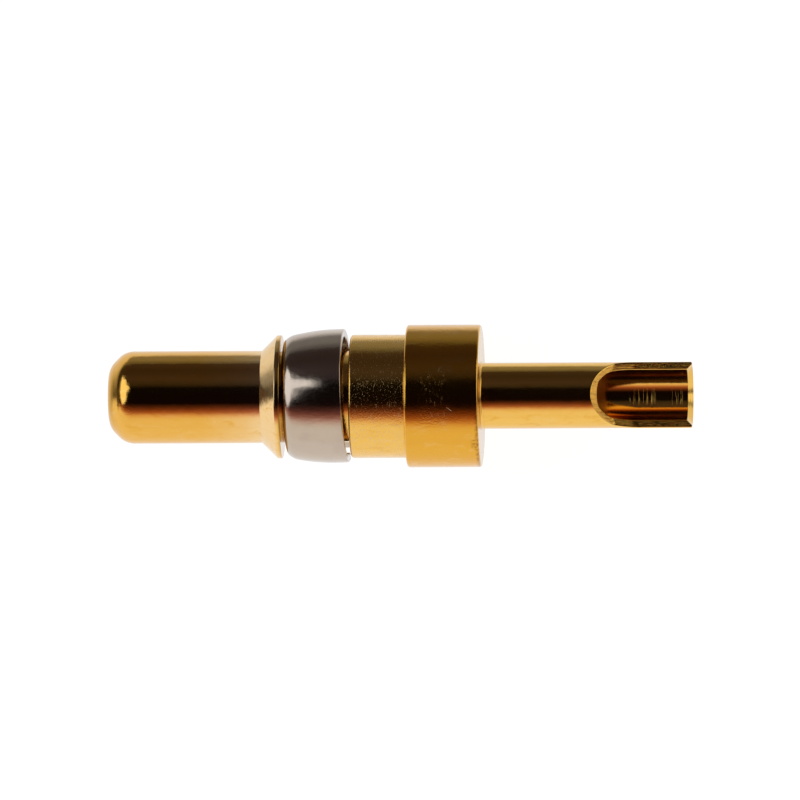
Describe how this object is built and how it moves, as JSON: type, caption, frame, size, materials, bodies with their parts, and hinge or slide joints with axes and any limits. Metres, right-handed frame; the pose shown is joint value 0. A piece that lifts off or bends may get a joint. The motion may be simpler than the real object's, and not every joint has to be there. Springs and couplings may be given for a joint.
{
  "type": "d-sub power contact",
  "caption": "Straight male high-power connector contact: gold-plated turned pin with a rounded nose, grooved barrel, stop flange and open solder cup, and a split spring retaining clip.",
  "frame": {"origin": "on the contact's axis at the flange's front face, where the contact stops in its cavity", "axes": "X along the axis with the nose towards -X and the solder tail towards +X, +Z out of the open side of the solder cup"},
  "size_m": [0.0227, 0.0056, 0.0056],
  "materials": {
    "gold_plate": "polished gold plating over turned brass, with fine speckle and turning marks",
    "spring_clip": "bright nickel-plated spring sheet, slightly warm and satin"
  },
  "bodies": {
    "contact": {"contact_body": "gold_plate"},
    "clip": {"retaining_clip": "spring_clip"}
  },
  "joints": [
    {"name": "clip_spin", "type": "hinge", "parent": "contact", "child": "clip", "pos_m": [-0.00352, 0, 0], "axis": [1, 0, 0], "continuous": true}
  ]
}
